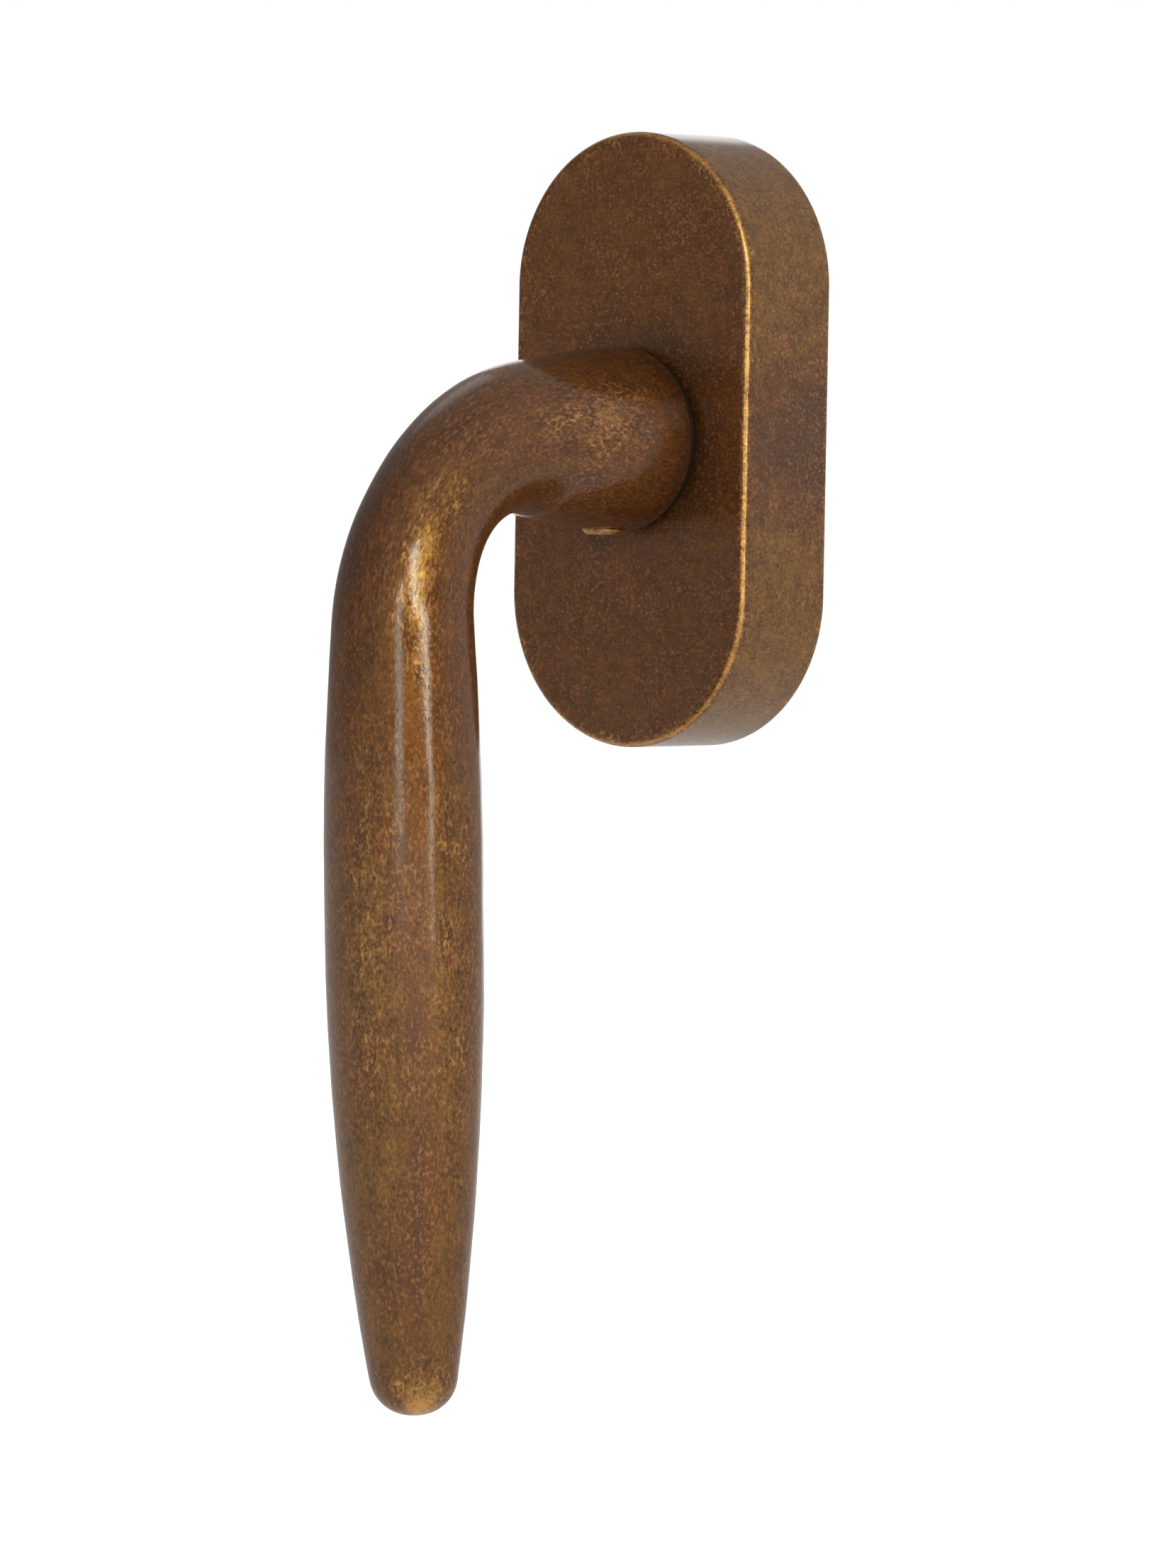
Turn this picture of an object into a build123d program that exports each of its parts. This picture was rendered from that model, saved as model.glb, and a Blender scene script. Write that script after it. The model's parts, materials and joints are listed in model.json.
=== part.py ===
"""Tilt-and-turn window handle on an oval rose, built as the real one is assembled. Millimetres.

Frame: the origin is the centre of the mounting face, on the spindle's axis. +Z is up, +Y points into the
window sash and +X is to the right for someone who faces the handle. The handle is shown closed, with its
grip hanging down. "Forward" is the distance out from the mounting face into the room, so forward = -Y.
"""

import math
import os

from build123d import *

# ---- driving dimensions -------------------------------------------------------------------------------

ROSE_LENGTH = 70.0
ROSE_WIDTH = 35.0
ROSE_DEPTH = 14.4
ROSE_WALL = 2.0
ROSE_FRONT_WALL = 2.6
ROSE_EDGE_RADIUS = 0.8
ROSE_LIFT = 0.1  # the rose stops short of the sash, so that the housing seats first

SCREW_SPACING = 43.0
SPINDLE_SIZE = 7.0
SPINDLE_PROJECTION = 15.0

NECK_RADIUS = 10.5
NECK_LENGTH = 17.0  # straight part of the neck, from the rose's face
BEND_RADIUS = 20.5
GRIP_LEAN = 1.4  # degrees that the top of the grip leans back towards the sash
GRIP_BOW_RADIUS = 1900.0  # the grip is bowed a little, so that its tip leans back further
GRIP_TIP_DROP = 108.8  # from the spindle's axis down to the tip
WAIST_RADIUS = 7.3  # mean radius in the middle of the bend, where the lever is thinnest
BELLY_RADIUS = 8.88  # mean radius at the thickest part of the grip
TIP_RADIUS = 5.0  # mean radius where the tip's rounding begins
TIP_ROUNDING = 4.2
TIP_FILLET = 3.8
NECK_FILLET = 0.8
OVAL_WIDTH = 1.045  # the grip is a little wider than its mean radius,
OVAL_DEPTH = 0.94  # and a little thinner from front to back

HOUSING_THICKNESS = 8.6
HOUSING_FLOOR = 2.0
COVER_PLATE_THICKNESS = 1.0
LUG_RADIUS = 5.0
LUG_LENGTH = 2.5

ROTOR_RADIUS = 9.0
JOURNAL_RADIUS = 6.5
BALL_RADIUS = 2.5
DETENT_DEPTH = 1.0
DETENT_ANGLES = {"upper_right": 45, "upper_left": 135, "lower_left": 225, "lower_right": 315}

RUNNING_GAP = 0.05
ASSEMBLY_GAP = 0.2
PAST = 1.0  # how far a cut runs on past the surface that it opens

# ---- places worked out from them ----------------------------------------------------------------------

ROSE_FACE = ROSE_DEPTH
ROSE_INNER_FACE = ROSE_DEPTH - ROSE_FRONT_WALL
CAVITY_LENGTH = ROSE_LENGTH - 2 * ROSE_WALL
CAVITY_WIDTH = ROSE_WIDTH - 2 * ROSE_WALL
HOUSING_LENGTH = CAVITY_LENGTH - 2 * ASSEMBLY_GAP
HOUSING_WIDTH = CAVITY_WIDTH - 2 * ASSEMBLY_GAP
PLATE_FACE = HOUSING_THICKNESS + COVER_PLATE_THICKNESS

BUSH_BORE_RADIUS = 7.45
BUSH_FLANGE_THICKNESS = 0.5
BUSH_FLANGE_RADIUS = NECK_RADIUS - 0.4
ROSE_BORE_RADIUS = 9.0
NECK_END = ROSE_FACE + BUSH_FLANGE_THICKNESS + 0.1
SPIGOT_END = ROSE_INNER_FACE - 0.1

ROTOR_DISC_BACK = 3.4
ROTOR_DISC_FRONT = 8.4
ROTOR_BACK = 0.1
ROTOR_FRONT = SPIGOT_END - 0.3
CROSS_PIN_RADIUS = 0.75
CROSS_PIN_FORWARD = (ROTOR_FRONT + PLATE_FACE) / 2

BALL_FORWARD = (ROTOR_DISC_BACK + ROTOR_DISC_FRONT) / 2
BALL_RIDING = ROTOR_RADIUS + BALL_RADIUS + RUNNING_GAP  # ball centre when it rides between two notches
BALL_SEATED = BALL_RIDING - DETENT_DEPTH
POCKET_WIDTH = 2 * (BALL_RADIUS + 0.1)
POCKET_END = 18.0

SOCKET_SIZE = SPINDLE_SIZE + 0.1
SOCKET_CORNER = 0.4
SOCKET_BOTTOM = ROSE_FACE + NECK_LENGTH - 1.5
GRUB_SCREW_FORWARD = ROSE_FACE + 4.0
GRUB_SCREW_RADIUS = 2.5
GRUB_SCREW_PROUD = 0.3  # how far the screw stands out under the neck

SCREW_HEIGHTS = (-SCREW_SPACING / 2, SCREW_SPACING / 2)
CLIP_POCKET_HALF_LENGTH = 8.0
CLIP_POCKET_DEPTH = 1.5
CLIP_FORWARD = 4.6
CLIP_WIDTH = 4.0


# ---- shapes used by several parts ---------------------------------------------------------------------


def facing(forward):
    """A sketch plane at this distance forward of the mounting face. Its x is +X and its y is +Z."""
    return Plane.XZ.offset(forward)


def prism(sketch, start, end):
    """The sketch, seen from the room, made solid from one forward distance to another."""
    return extrude(facing(start) * sketch, amount=end - start)


def disc(radius, start, end, x=0.0, z=0.0):
    return prism(Pos(x, z) * Circle(radius), start, end)


def oval(length, width):
    """The rose's outline: two half rounds joined by straight sides, standing upright."""
    return SlotOverall(length, width, rotation=90)


def square(size, corner):
    return RectangleRounded(size, size, corner)


def turned(angle, shape):
    """The shape turned about the spindle's axis, anticlockwise as seen from the room."""
    return shape.rotate(Axis((0, 0, 0), (0, -1, 0)), angle)


# ---- cover and its bearing ----------------------------------------------------------------------------


def cover_rose():
    """Cast cover: an oval cap, open at the back, with a bore for the neck's bush and two clip grooves."""
    body = prism(oval(ROSE_LENGTH, ROSE_WIDTH), ROSE_LIFT, ROSE_FACE)
    front_edges = body.edges().filter_by_position(Axis.Y, -ROSE_FACE, -ROSE_FACE)
    body = fillet(front_edges, ROSE_EDGE_RADIUS)
    body -= prism(oval(CAVITY_LENGTH, CAVITY_WIDTH), 0, ROSE_INNER_FACE)
    body -= disc(ROSE_BORE_RADIUS, 0, ROSE_FACE + PAST)
    groove_depth = 0.6
    groove = Box(CAVITY_WIDTH + 2 * groove_depth, CLIP_WIDTH + 0.4, 2 * CLIP_POCKET_HALF_LENGTH)
    return body - Pos(0, -CLIP_FORWARD, 0) * groove


def neck_bush():
    """Nylon bush pressed into the rose. Its thin flange keeps the neck off the rose's face."""
    sleeve = disc(ROSE_BORE_RADIUS - 0.02, ROSE_INNER_FACE, ROSE_FACE)
    flange = disc(BUSH_FLANGE_RADIUS, ROSE_FACE, ROSE_FACE + BUSH_FLANGE_THICKNESS)
    return sleeve + flange - disc(BUSH_BORE_RADIUS, 0, NECK_END)


def rose_clip(side):
    """Bowed spring strip in the housing's side that snaps into the rose's groove. side is -1 or 1."""
    half_length = CLIP_POCKET_HALF_LENGTH - 0.4
    thickness = 0.4
    root = HOUSING_WIDTH / 2 - CLIP_POCKET_DEPTH + 0.1
    crest = CAVITY_WIDTH / 2 + 0.3 - thickness
    inner = ThreePointArc((root, -half_length), (crest, 0), (root, half_length))
    outer = ThreePointArc(
        (root + thickness, -half_length), (crest + thickness, 0), (root + thickness, half_length)
    )
    outline = make_face(inner + Line(inner @ 1, outer @ 1) + outer + Line(outer @ 0, inner @ 0))
    strip = prism(outline, CLIP_FORWARD - CLIP_WIDTH / 2, CLIP_FORWARD + CLIP_WIDTH / 2)
    return strip if side > 0 else strip.mirror(Plane.YZ)


# ---- detent mechanism ---------------------------------------------------------------------------------

COVER_PLATE_HEIGHT = 32.4
COVER_PLATE_CORNER = 3.0
PLATE_SCREW_CIRCLE = 11.9
PLATE_SCREW_RADIUS = 1.25
PLATE_SCREW_LENGTH = 5.0
PLATE_SCREW_HEAD_RADIUS = 2.1
PLATE_SCREW_HEAD_HEIGHT = 1.3
SCREW_HEAD_RADIUS = 4.6
SCREW_HEAD_HEIGHT = 2.5
SCREW_HEAD_TOP = HOUSING_THICKNESS - 0.1
SCREW_HOLE_RADIUS = 2.75
LIGHTENING_RADIUS = 2.6
LIGHTENING_OFFSET = 8.2  # from a mounting screw, towards the housing's end
THRUST_WASHER_THICKNESS = 0.5
SPRING_WASHER_THICKNESS = 0.3
BACK_GROOVE_RADIUS = 11.4
BACK_GROOVE_WIDTH = 3.4
BACK_GROOVE_DEPTH = 1.2
BACK_GROOVE_ARC = 100  # degrees


def plate_screw_places():
    return [turned(angle, Vertex(PLATE_SCREW_CIRCLE, 0, 0)).center() for angle in (0, 90, 180, 270)]


def base_housing():
    """Die-cast housing: a round recess for the rotor, four ball pockets, two screw holes and two lugs."""
    body = prism(oval(HOUSING_LENGTH, HOUSING_WIDTH), 0, HOUSING_THICKNESS)
    for height in SCREW_HEIGHTS:
        body += disc(LUG_RADIUS, -LUG_LENGTH, PAST, z=height)
        body -= disc(SCREW_HOLE_RADIUS, -LUG_LENGTH - PAST, HOUSING_THICKNESS + PAST, z=height)
        body -= countersink(height, 0.1)
        body -= lightening_pocket(height)
    body -= disc(ROTOR_RADIUS + 0.3, HOUSING_FLOOR, HOUSING_THICKNESS + PAST)
    body -= disc(JOURNAL_RADIUS + RUNNING_GAP, -PAST, HOUSING_FLOOR + PAST)
    pocket_back = BALL_FORWARD - BALL_RADIUS - 0.1
    for angle in DETENT_ANGLES.values():
        slot = Pos(POCKET_END / 2, 0) * Rectangle(POCKET_END, POCKET_WIDTH)
        body -= turned(angle, prism(slot, pocket_back, HOUSING_THICKNESS + PAST))
    hole_end = HOUSING_THICKNESS - PLATE_SCREW_LENGTH
    for place in plate_screw_places():
        body -= disc(PLATE_SCREW_RADIUS, hole_end, HOUSING_THICKNESS + PAST, place.X, place.Z)
    for side in (-1, 1):
        pocket = Box(2 * CLIP_POCKET_DEPTH, CLIP_WIDTH + 0.2, 2 * CLIP_POCKET_HALF_LENGTH)
        body -= Pos(side * HOUSING_WIDTH / 2, -CLIP_FORWARD, 0) * pocket
        body -= back_groove(90 - 90 * side)
    return body


def back_groove(angle):
    """An arc-shaped weight-saving groove in the housing's back, centred on this angle."""
    arc = CenterArc((0, 0), BACK_GROOVE_RADIUS, angle - BACK_GROOVE_ARC / 2, BACK_GROOVE_ARC)
    return prism(SlotArc(arc, BACK_GROOVE_WIDTH), -PAST, BACK_GROOVE_DEPTH)


def countersink(height, gap):
    """The cone that a mounting screw's head fills, made larger by gap, with its rim at the head's top."""
    top = facing(SCREW_HEAD_TOP) * Pos(0, height) * Circle(SCREW_HEAD_RADIUS + gap)
    bottom_radius = SCREW_HEAD_RADIUS - SCREW_HEAD_HEIGHT
    bottom = facing(SCREW_HEAD_TOP - SCREW_HEAD_HEIGHT) * Pos(0, height) * Circle(bottom_radius + gap)
    cone = loft([bottom, top])
    if gap:
        cone += disc(SCREW_HEAD_RADIUS + gap, SCREW_HEAD_TOP, HOUSING_THICKNESS + PAST, z=height)
    return cone


def lightening_pocket(height):
    """A shallow blind pocket beyond each screw, as a casting has to keep its walls even."""
    place = height + math.copysign(LIGHTENING_OFFSET, height)
    return disc(LIGHTENING_RADIUS, HOUSING_FLOOR, HOUSING_THICKNESS + PAST, z=place)


def mechanism_cover_plate():
    """Pressed steel plate that closes the ball pockets and carries the rotor's front journal."""
    outline = RectangleRounded(HOUSING_WIDTH - 2 * ASSEMBLY_GAP, COVER_PLATE_HEIGHT, COVER_PLATE_CORNER)
    plate = prism(outline, HOUSING_THICKNESS, PLATE_FACE)
    plate -= disc(JOURNAL_RADIUS + RUNNING_GAP, 0, PLATE_FACE + PAST)
    for place in plate_screw_places():
        plate -= disc(PLATE_SCREW_RADIUS + 0.1, 0, PLATE_FACE + PAST, place.X, place.Z)
    return plate


def plate_screws():
    """Four slotted cheese-head screws that hold the cover plate."""
    head_top = PLATE_FACE + PLATE_SCREW_HEAD_HEIGHT
    thread_end = HOUSING_THICKNESS - PLATE_SCREW_LENGTH + 0.4
    slot_width = 0.6
    slot_depth = 0.7
    slot = Box(slot_width, 2 * slot_depth, 3 * PLATE_SCREW_HEAD_RADIUS)
    screws = []
    for place in plate_screw_places():
        shank = disc(PLATE_SCREW_RADIUS - 0.02, thread_end, PLATE_FACE, place.X, place.Z)
        head = disc(PLATE_SCREW_HEAD_RADIUS, PLATE_FACE, head_top, place.X, place.Z)
        head = fillet(head.edges().filter_by_position(Axis.Y, -head_top, -head_top), 0.3)
        screws.append(shank + head - Pos(place.X, -head_top, place.Z) * slot)
    return Compound(children=screws)


def detent_rotor():
    """Steel hub on the spindle. Four notches in its disc take the balls every 90 degrees."""
    body = disc(JOURNAL_RADIUS, ROTOR_BACK, ROTOR_FRONT)
    body += disc(ROTOR_RADIUS, ROTOR_DISC_BACK, ROTOR_DISC_FRONT)
    body -= prism(square(SOCKET_SIZE, SOCKET_CORNER), -PAST, ROTOR_FRONT + PAST)
    for angle in DETENT_ANGLES.values():
        notch_radius = BALL_RADIUS + RUNNING_GAP
        notch = disc(notch_radius, ROTOR_DISC_BACK - PAST, ROTOR_DISC_FRONT + PAST, x=BALL_SEATED)
        body -= turned(angle, notch)
    hole = Cylinder(CROSS_PIN_RADIUS + 0.02, 4 * JOURNAL_RADIUS, rotation=(0, 90, 0))
    return body - Pos(0, -CROSS_PIN_FORWARD, 0) * hole


def thrust_washer():
    """Plastic washer on the housing's floor."""
    washer = disc(ROTOR_RADIUS, HOUSING_FLOOR, HOUSING_FLOOR + THRUST_WASHER_THICKNESS)
    return washer - disc(JOURNAL_RADIUS + ASSEMBLY_GAP, 0, ROTOR_FRONT)


def spring_washer():
    """Coned spring washer that takes the rattle out of the rotor."""
    back = HOUSING_FLOOR + THRUST_WASHER_THICKNESS
    front = ROTOR_DISC_BACK - RUNNING_GAP
    inner_radius = JOURNAL_RADIUS + 0.3
    outer_radius = ROTOR_RADIUS - 0.2
    section = Polyline(
        (outer_radius, -back),
        (outer_radius, -back - SPRING_WASHER_THICKNESS),
        (inner_radius, -front),
        (inner_radius, -front + SPRING_WASHER_THICKNESS),
        close=True,
    )
    return revolve(make_face(section), Axis.Y)


def detent_ball(angle):
    """Steel ball, riding on the rotor's rim between two notches."""
    return turned(angle, Pos(BALL_RIDING, -BALL_FORWARD, 0) * Sphere(BALL_RADIUS))


def detent_spring(angle):
    """Coil spring between a ball and the end of its pocket."""
    wire_radius = 0.3
    coil_radius = 1.8
    on_ball = math.sqrt((BALL_RADIUS + wire_radius) ** 2 - coil_radius**2)
    start = BALL_RIDING + on_ball + RUNNING_GAP
    length = POCKET_END - wire_radius - 0.02 - start
    turns = 5
    coil = Helix(length / turns, length, coil_radius)
    wire = sweep(Plane(origin=coil @ 0, z_dir=coil % 0) * Circle(wire_radius), path=coil)
    lying = wire.rotate(Axis.Y, 90)
    return turned(angle, Pos(start, -BALL_FORWARD, 0) * lying)


# ---- spindle and fasteners ----------------------------------------------------------------------------


def spindle():
    """Square steel spindle from the neck's socket, through the rotor, into the window's lock."""
    bar = prism(square(SPINDLE_SIZE, 0.5), -SPINDLE_PROJECTION, SOCKET_BOTTOM - 0.3)
    ends = bar.faces().sort_by(Axis.Y)
    bar = chamfer(ends[0].edges() + ends[-1].edges(), 0.4)
    hole = Cylinder(CROSS_PIN_RADIUS + 0.02, 2 * SPINDLE_SIZE, rotation=(0, 90, 0))
    return bar - Pos(0, -CROSS_PIN_FORWARD, 0) * hole


def spindle_cross_pin():
    """Slotted spring pin that locks the spindle in the rotor."""
    length = 2 * JOURNAL_RADIUS - 0.4
    tube = Cylinder(CROSS_PIN_RADIUS, length) - Cylinder(CROSS_PIN_RADIUS - 0.3, length)
    tube -= Pos(0, CROSS_PIN_RADIUS, 0) * Box(0.3, CROSS_PIN_RADIUS * 2, length)
    return Pos(0, -CROSS_PIN_FORWARD, 0) * tube.rotate(Axis.Y, 90)


def mounting_screws():
    """Two countersunk M5 screws with reduced shanks, which end as threaded studs behind the lugs."""
    thread_radius = 2.5
    shank_radius = 2.2
    length = 20.0
    recess_length = 4.4
    recess_width = 1.0
    recess_depth = 1.8
    screws = []
    for height in SCREW_HEIGHTS:
        tip = SCREW_HEAD_TOP - length
        thread = disc(thread_radius, tip, -LUG_LENGTH - 0.1, z=height)
        thread = chamfer(thread.edges().filter_by_position(Axis.Y, -tip, -tip), 0.5)
        shank = disc(shank_radius, -LUG_LENGTH - 0.1, SCREW_HEAD_TOP - SCREW_HEAD_HEIGHT + 0.5, z=height)
        recess = Rectangle(recess_width, recess_length) + Rectangle(recess_length, recess_width)
        recess = prism(Pos(0, height) * recess, SCREW_HEAD_TOP - recess_depth, SCREW_HEAD_TOP + PAST)
        screws.append(thread + shank + countersink(height, 0) - recess)
    return Compound(children=screws)


def neck_grub_screw():
    """Socket set screw under the neck. Its point bears on the spindle's lower face."""
    point = SPINDLE_SIZE / 2 + RUNNING_GAP
    foot = NECK_RADIUS + GRUB_SCREW_PROUD
    length = foot - point
    key_size = 2.5
    key_depth = 3.0
    body = Cylinder(GRUB_SCREW_RADIUS, length)
    body = chamfer(body.edges().filter_by(GeomType.CIRCLE), 0.5)
    hexagon = RegularPolygon(key_size / 2, 6, major_radius=False)
    socket = Pos(0, 0, -length / 2) * extrude(hexagon, amount=key_depth)
    return Pos(0, -GRUB_SCREW_FORWARD, -(foot + point) / 2) * (body - socket)


# ---- lever --------------------------------------------------------------------------------------------

BEND_ANGLE = 90 + GRIP_LEAN
BEND_START = ROSE_FACE + NECK_LENGTH - NECK_END
BEND_END = BEND_START + BEND_RADIUS * math.radians(BEND_ANGLE)
WAIST_PLACE = 36.0  # places along the centreline, from the neck's end
BELLY_PLACE = 76.0
TAPER_PLACE = 82.0
STATIONS = 20  # steps between the ovals that the lever is swept through


def ease(share):
    """0 to 1 along half a cosine wave."""
    return (1 - math.cos(math.pi * min(max(share, 0.0), 1.0))) / 2


def bend_end():
    """Forward distance and height of the bend's lower end."""
    turn = math.radians(BEND_ANGLE)
    return ROSE_FACE + NECK_LENGTH + BEND_RADIUS * math.sin(turn), -BEND_RADIUS * (1 - math.cos(turn))


def lever_length():
    """Length of the lever's centreline, from the neck's end to the tip."""
    _, height = bend_end()
    lean = math.radians(GRIP_LEAN)
    tip_lean = math.asin(math.sin(lean) + (GRIP_TIP_DROP + height) / GRIP_BOW_RADIUS)
    return BEND_END + GRIP_BOW_RADIUS * (tip_lean - lean)


def centreline(place):
    """(forward distance, height, turn in degrees) of the lever's centreline at this length along it."""
    if place <= BEND_START:
        return NECK_END + place, 0.0, 0.0
    if place <= BEND_END:
        turn = (place - BEND_START) / BEND_RADIUS
        forward = ROSE_FACE + NECK_LENGTH + BEND_RADIUS * math.sin(turn)
        return forward, -BEND_RADIUS * (1 - math.cos(turn)), math.degrees(turn)
    forward, height = bend_end()
    top_lean = math.radians(GRIP_LEAN)
    lean = top_lean + (place - BEND_END) / GRIP_BOW_RADIUS
    forward -= GRIP_BOW_RADIUS * (math.cos(top_lean) - math.cos(lean))
    height -= GRIP_BOW_RADIUS * (math.sin(lean) - math.sin(top_lean))
    return forward, height, 90 + math.degrees(lean)


def mean_radius(place):
    """The lever's thickness: neck to waist, waist to belly, and a parabola from the belly to the tip."""
    if place <= WAIST_PLACE:
        return NECK_RADIUS + (WAIST_RADIUS - NECK_RADIUS) * ease(place / WAIST_PLACE)
    swell = ease(min((place - WAIST_PLACE) / (BELLY_PLACE - WAIST_PLACE), 1.0) ** 0.75)
    taper = max(place - TAPER_PLACE, 0.0) / (lever_length() - TIP_ROUNDING - TAPER_PLACE)
    return WAIST_RADIUS + (BELLY_RADIUS - WAIST_RADIUS) * swell - (BELLY_RADIUS - TIP_RADIUS) * taper**2


def half_widths(place):
    """Half the lever's width along X, and half its depth across X. It is round at the neck only."""
    radius = mean_radius(place)
    oval_share = ease(place / WAIST_PLACE)
    return radius * (1 + (OVAL_WIDTH - 1) * oval_share), radius * (1 + (OVAL_DEPTH - 1) * oval_share)


def lever_section(place):
    """The oval across the centreline at this length along it."""
    forward, height, turn = centreline(place)
    angle = math.radians(turn)
    across = Plane(
        origin=(0, -forward, height), x_dir=(1, 0, 0), z_dir=(0, -math.cos(angle), -math.sin(angle))
    )
    return across * Ellipse(*half_widths(place))


def centre_point(place):
    forward, height, _ = centreline(place)
    return 0, -forward, height


def direction(place):
    """Unit vector along the centreline, towards the tip."""
    turn = math.radians(centreline(place)[2])
    return 0, -math.cos(turn), -math.sin(turn)


def lever_path():
    """The lever's centreline: straight neck, arc of the bend, slightly bowed grip."""
    tip = lever_length()
    neck = Line(centre_point(0), centre_point(BEND_START))
    bend_middle = centre_point((BEND_START + BEND_END) / 2)
    bend = ThreePointArc(centre_point(BEND_START), bend_middle, centre_point(BEND_END))
    grip_points = [centre_point(BEND_END), centre_point((BEND_END + tip) / 2), centre_point(tip)]
    grip = Spline(grip_points, tangents=[direction(BEND_END), direction(tip)])
    return Wire([neck.edge(), bend.edge(), grip.edge()])


def lever_handle():
    """Cast lever: a round neck, a bend and an oval grip, with a square socket for the spindle."""
    length = lever_length()
    sections = [lever_section(length * i / STATIONS) for i in range(STATIONS + 1)]
    body = sweep(sections, path=lever_path(), multisection=True)
    body = fillet(body.faces().sort_by(Axis.Z)[0].edges(), TIP_FILLET)
    body = fillet(body.faces().sort_by(Axis.Y)[-1].edges(), NECK_FILLET)
    body += disc(BUSH_BORE_RADIUS - RUNNING_GAP, SPIGOT_END, NECK_END + PAST)
    body -= prism(square(SOCKET_SIZE, SOCKET_CORNER), SPIGOT_END - PAST, SOCKET_BOTTOM)
    hole_length = 2 * NECK_RADIUS
    hole = Cylinder(GRUB_SCREW_RADIUS + 0.02, hole_length)
    return body - Pos(0, -GRUB_SCREW_FORWARD, -hole_length / 2) * hole


# ---- write every part ---------------------------------------------------------------------------------

PARTS = {
    "cover_rose": cover_rose,
    "neck_bush": neck_bush,
    "rose_clip_left": lambda: rose_clip(-1),
    "rose_clip_right": lambda: rose_clip(1),
    "base_housing": base_housing,
    "mechanism_cover_plate": mechanism_cover_plate,
    "plate_screws": plate_screws,
    "detent_rotor": detent_rotor,
    "thrust_washer": thrust_washer,
    "spring_washer": spring_washer,
    "spindle": spindle,
    "spindle_cross_pin": spindle_cross_pin,
    "mounting_screws": mounting_screws,
    "neck_grub_screw": neck_grub_screw,
    "lever_handle": lever_handle,
}


def main():
    os.makedirs("parts", exist_ok=True)
    for name, make in PARTS.items():
        export_step(make(), f"parts/{name}.step")
    for corner, angle in DETENT_ANGLES.items():
        export_step(detent_ball(angle), f"parts/detent_ball_{corner}.step")
        export_step(detent_spring(angle), f"parts/detent_spring_{corner}.step")


main()
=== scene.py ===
import json
import math

import bpy
from mathutils import Matrix, Vector, noise


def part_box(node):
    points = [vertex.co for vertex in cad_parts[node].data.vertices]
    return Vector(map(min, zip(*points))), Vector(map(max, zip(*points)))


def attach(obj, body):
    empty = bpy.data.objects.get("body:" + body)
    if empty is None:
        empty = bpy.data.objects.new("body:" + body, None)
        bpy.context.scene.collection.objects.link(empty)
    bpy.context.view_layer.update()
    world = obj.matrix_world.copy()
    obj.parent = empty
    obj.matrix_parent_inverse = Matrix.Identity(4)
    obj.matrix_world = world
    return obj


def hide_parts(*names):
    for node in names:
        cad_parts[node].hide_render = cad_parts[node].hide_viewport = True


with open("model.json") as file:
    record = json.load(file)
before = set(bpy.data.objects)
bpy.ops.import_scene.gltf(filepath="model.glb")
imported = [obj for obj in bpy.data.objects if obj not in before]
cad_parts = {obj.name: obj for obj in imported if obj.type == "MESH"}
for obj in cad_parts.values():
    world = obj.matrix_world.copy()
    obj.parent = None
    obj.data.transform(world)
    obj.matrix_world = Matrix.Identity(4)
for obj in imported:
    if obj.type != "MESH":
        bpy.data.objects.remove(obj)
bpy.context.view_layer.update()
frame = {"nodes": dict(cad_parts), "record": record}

# Looks of the tilt-and-turn window handle. Shapes are worked out in millimetres, in the CAD model's axes, and
# skin() turns them to metres. "Forward" is the distance out from the mounting face, along -Y.

MM = 0.001


def node_box(node):
    """Lowest and highest corner of a CAD node, in millimetres."""
    low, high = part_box(node)
    return Vector(low) / MM, Vector(high) / MM


# ---- sizes ------------------------------------------------------------------------------------------

ROSE_LOW, ROSE_HIGH = node_box("cover_rose")
ROSE_FACE = -ROSE_LOW.y
ROSE_BACK = -ROSE_HIGH.y
ROSE_RADIUS = ROSE_HIGH.x
ROSE_STRAIGHT = ROSE_HIGH.z - ROSE_RADIUS
ROSE_WALL = 2.0
ROSE_FRONT_WALL = 2.6
ROSE_BORE_RADIUS = 9.0
ROSE_EDGE_RADIUS = 0.85
ROSE_BACK_EDGE_RADIUS = 0.3
GROOVE_HALF_LENGTH = 8.2
GROOVE_DEPTH = 0.6
GROOVE_GAP = 0.2  # between a clip and each end of its groove

BUSH_LOW, BUSH_HIGH = node_box("neck_bush")
BUSH_FRONT = -BUSH_LOW.y
BUSH_BACK = -BUSH_HIGH.y
BUSH_FLANGE_RADIUS = BUSH_HIGH.x
BUSH_BORE_RADIUS = 7.45

NECK_RADIUS = 10.5
NECK_LENGTH = 17.0
NECK_END = BUSH_FRONT + 0.1
NECK_FILLET = 0.9
BEND_RADIUS = 20.5
GRIP_LEAN = math.radians(1.4)
GRIP_BOW_RADIUS = 1900.0
GRIP_TIP_DROP = -node_box("lever_handle")[0].z
WAIST_RADIUS = 7.3
BELLY_RADIUS = 8.88
TIP_RADIUS = 5.0
TIP_ROUNDING = 4.2
OVAL_WIDTH = 1.045
OVAL_DEPTH = 0.94
SPIGOT_RADIUS = BUSH_BORE_RADIUS - 0.05
SPIGOT_END = -node_box("lever_handle")[1].y
SOCKET_HALF = 3.55
SOCKET_BOTTOM = -node_box("spindle")[0].y + 0.3

GRUB_LOW, GRUB_HIGH = node_box("neck_grub_screw")
GRUB_FORWARD = -(GRUB_LOW.y + GRUB_HIGH.y) / 2
GRUB_RADIUS = GRUB_HIGH.x

AROUND = 128  # points round a ring of the lever
SCREW_AROUND = 96  # points round a ring of a screw
GRAIN_STRETCH = 0.6  # the bronze's grain runs a little along the lever
UNEVENNESS = 0.05  # how far the bronze's cast faces rise and fall
SHARP_ANGLE = math.radians(38)  # a sharper edge than this is shaded as a crease


# ---- mesh making ------------------------------------------------------------------------------------


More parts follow.
